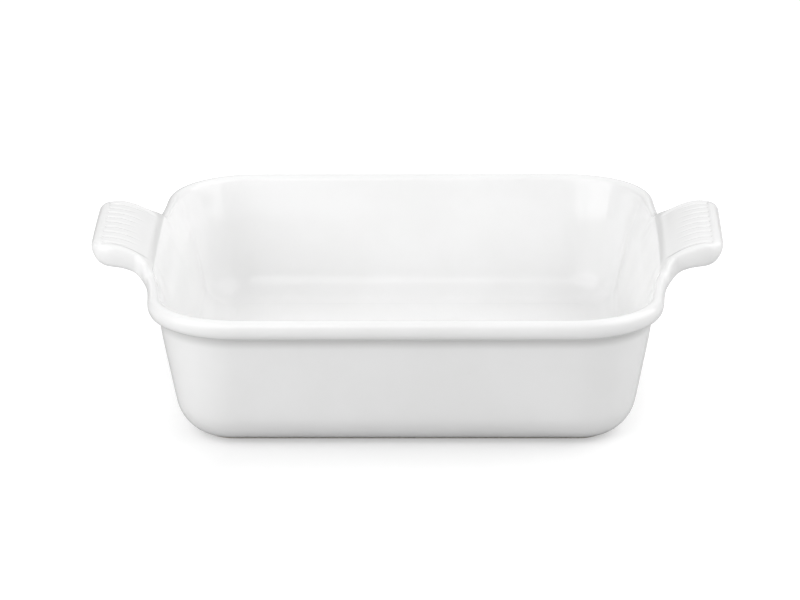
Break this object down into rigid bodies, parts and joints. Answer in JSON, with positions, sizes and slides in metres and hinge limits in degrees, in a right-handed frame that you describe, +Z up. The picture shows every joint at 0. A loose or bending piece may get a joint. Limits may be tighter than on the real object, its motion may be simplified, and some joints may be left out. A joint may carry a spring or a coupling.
{
  "type": "square baking dish",
  "caption": "Square glazed stoneware baking dish with rounded corners, tapered walls, a rolled rim and ribbed lug handles.",
  "frame": {"origin": "on the table, under the middle of the dish", "axes": "+X through the middle of the right handle, +Y to the back wall, +Z up"},
  "size_m": [0.3052, 0.245, 0.0794],
  "materials": {
    "white_glaze": "glossy white glaze",
    "bare_stoneware": "unglazed, matt and slightly rough"
  },
  "bodies": {
    "root": {"foot_ring": "bare_stoneware", "floor": "white_glaze", "wall": "white_glaze", "rim": "white_glaze", "handle_right": "white_glaze", "handle_left": "white_glaze"}
  },
  "joints": []
}
